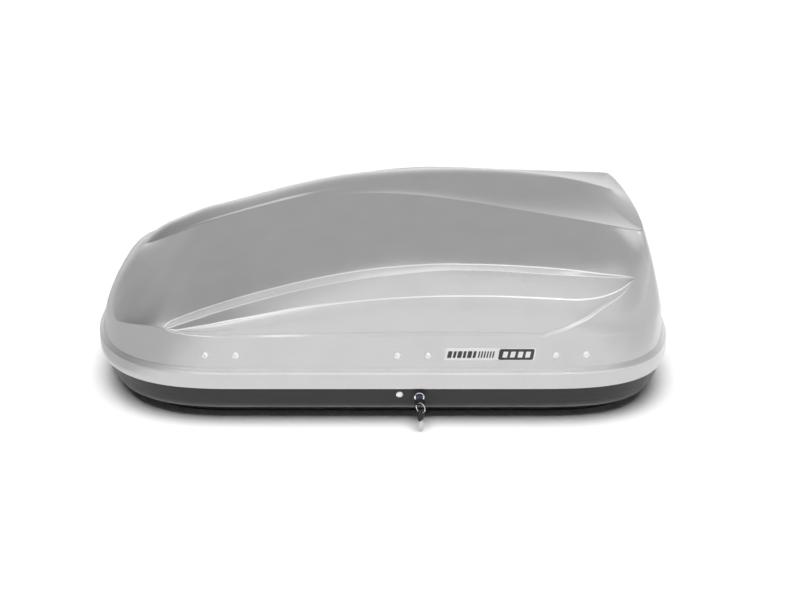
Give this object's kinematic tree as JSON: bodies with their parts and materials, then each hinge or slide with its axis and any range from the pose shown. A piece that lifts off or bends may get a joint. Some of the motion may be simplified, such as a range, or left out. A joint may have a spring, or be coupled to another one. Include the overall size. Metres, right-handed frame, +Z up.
{
  "type": "roof cargo box",
  "caption": "Hard-shell roof cargo box whose lid opens on one side, with hinges, lid struts, and a key lock that slides a latch rail.",
  "frame": {"origin": "centre of the four mounting slots, on the underside of the tray", "axes": "+X from the nose to the tail along the car, -Y the side that opens and carries the lock, +Y the hinge side, +Z up; at rest the lid is shut and unlocked"},
  "size_m": [1.335, 0.8765, 0.4531],
  "materials": {
    "lid_plastic": "silver-grey vacuum-formed sheet, satin",
    "tray_plastic": "black vacuum-formed sheet, fine grain",
    "plated_steel": "zinc-plated sheet",
    "rivet_metal": "bright domed",
    "bright_metal": "polished",
    "lock_metal": "dark plated",
    "cast_metal": "die cast",
    "key_metal": "nickel plated",
    "black_plastic": "moulded",
    "tube_paint": "black",
    "webbing": "woven",
    "badge": "white plaque"
  },
  "bodies": {
    "tray": {"base_shell": "tray_plastic", "stiffener_left": "plated_steel", "stiffener_right": "plated_steel", "stiffener_rivets": "rivet_metal", "strut_bracket_rivets": "rivet_metal", "strap_anchor_rivets": "rivet_metal", "hinge_base_leaf_front": "plated_steel", "hinge_base_leaf_middle": "plated_steel", "hinge_base_leaf_rear": "plated_steel", "hinge_base_rivets": "rivet_metal", "hinge_pin_front": "plated_steel", "hinge_pin_middle": "plated_steel", "hinge_pin_rear": "plated_steel", "lock_case": "cast_metal", "lock_bezel": "bright_metal", "lock_rivet": "rivet_metal", "rail_guide_1": "black_plastic", "rail_guide_2": "black_plastic", "rail_guide_3": "black_plastic", "rail_guide_4": "black_plastic", "rail_guide_screws": "rivet_metal", "strut_front_base_bracket": "plated_steel", "strut_rear_base_bracket": "plated_steel", "strap_front": "webbing", "strap_rear": "webbing", "strap_front_slider": "black_plastic", "strap_rear_slider": "black_plastic", "strap_anchors": "black_plastic"},
    "lid": {"lid_shell": "lid_plastic", "hinge_lid_leaf_front": "plated_steel", "hinge_lid_leaf_middle": "plated_steel", "hinge_lid_leaf_rear": "plated_steel", "hinge_lid_rivets": "rivet_metal", "striker_front": "plated_steel", "striker_middle": "plated_steel", "striker_rear": "plated_steel", "lid_latch_rivets": "rivet_metal", "strut_front_lid_bracket": "plated_steel", "strut_rear_lid_bracket": "plated_steel", "strut_lid_rivets": "rivet_metal", "side_badge": "badge"},
    "latch_rail": {"latch_rail": "plated_steel", "latch_hook_front": "plated_steel", "latch_hook_middle": "plated_steel", "latch_hook_rear": "plated_steel"},
    "lock_plug": {"lock_cylinder": "lock_metal", "lock_cam": "plated_steel"},
    "key": {"key_bow": "black_plastic", "key_blade": "key_metal"},
    "key_ring": {"key_ring": "bright_metal"},
    "spare_key": {"spare_key_bow": "black_plastic", "spare_key_blade": "key_metal"},
    "strut_front_tube": {"strut_front_cylinder": "tube_paint"},
    "strut_front_piston": {"strut_front_rod": "bright_metal"},
    "strut_rear_tube": {"strut_rear_cylinder": "tube_paint"},
    "strut_rear_piston": {"strut_rear_rod": "bright_metal"}
  },
  "joints": [
    {"name": "lid_hinge", "type": "hinge", "parent": "tray", "child": "lid", "pos_m": [0, 0.416, 0.082], "axis": [-1, 0, 0], "range_deg": [0, 52]},
    {"name": "lock_turn", "type": "hinge", "parent": "tray", "child": "lock_plug", "pos_m": [0.0884, -0.4, 0.065], "axis": [0, 1, 0], "range_deg": [0, 90]},
    {"name": "rail_slide", "type": "slide", "parent": "tray", "child": "latch_rail", "axis": [1, 0, 0], "range_m": [0, 0.02]},
    {"name": "key_pull", "type": "slide", "parent": "lock_plug", "child": "key", "axis": [0, -1, 0], "range_m": [0, 0.03]},
    {"name": "strut_front_tube_pivot", "type": "hinge", "parent": "tray", "child": "strut_front_tube", "pos_m": [-0.31, 0.28618, 0.0752], "axis": [-1, 0, 0], "range_deg": [0, 26]},
    {"name": "strut_front_piston_pivot", "type": "hinge", "parent": "lid", "child": "strut_front_piston", "pos_m": [-0.31, 0.3452, 0.19103], "axis": [-1, 0, 0], "range_deg": [-26, 0]},
    {"name": "strut_rear_tube_pivot", "type": "hinge", "parent": "tray", "child": "strut_rear_tube", "pos_m": [0.31, 0.28618, 0.0752], "axis": [-1, 0, 0], "range_deg": [0, 26]},
    {"name": "strut_rear_piston_pivot", "type": "hinge", "parent": "lid", "child": "strut_rear_piston", "pos_m": [0.31, 0.3452, 0.19103], "axis": [-1, 0, 0], "range_deg": [-26, 0]},
    {"name": "ring_swing", "type": "hinge", "parent": "key", "child": "key_ring", "pos_m": [0.0906, -0.4456, 0.0671], "axis": [0.8192, -0.5736, 0], "range_deg": [-8, 8]},
    {"name": "spare_key_swing", "type": "hinge", "parent": "key_ring", "child": "spare_key", "pos_m": [0.0906, -0.4456, 0.0459], "axis": [0.8192, -0.5736, 0], "range_deg": [-20, 20]}
  ],
  "couplings": [
    {"joint": "lock_turn", "follows": "rail_slide", "rad_per_m": 78.539},
    {"joint": "strut_front_tube_pivot", "follows": "lid_hinge", "ratio": 0.5},
    {"joint": "strut_front_piston_pivot", "follows": "lid_hinge", "ratio": -0.5},
    {"joint": "strut_rear_tube_pivot", "follows": "lid_hinge", "ratio": 0.5},
    {"joint": "strut_rear_piston_pivot", "follows": "lid_hinge", "ratio": -0.5}
  ]
}
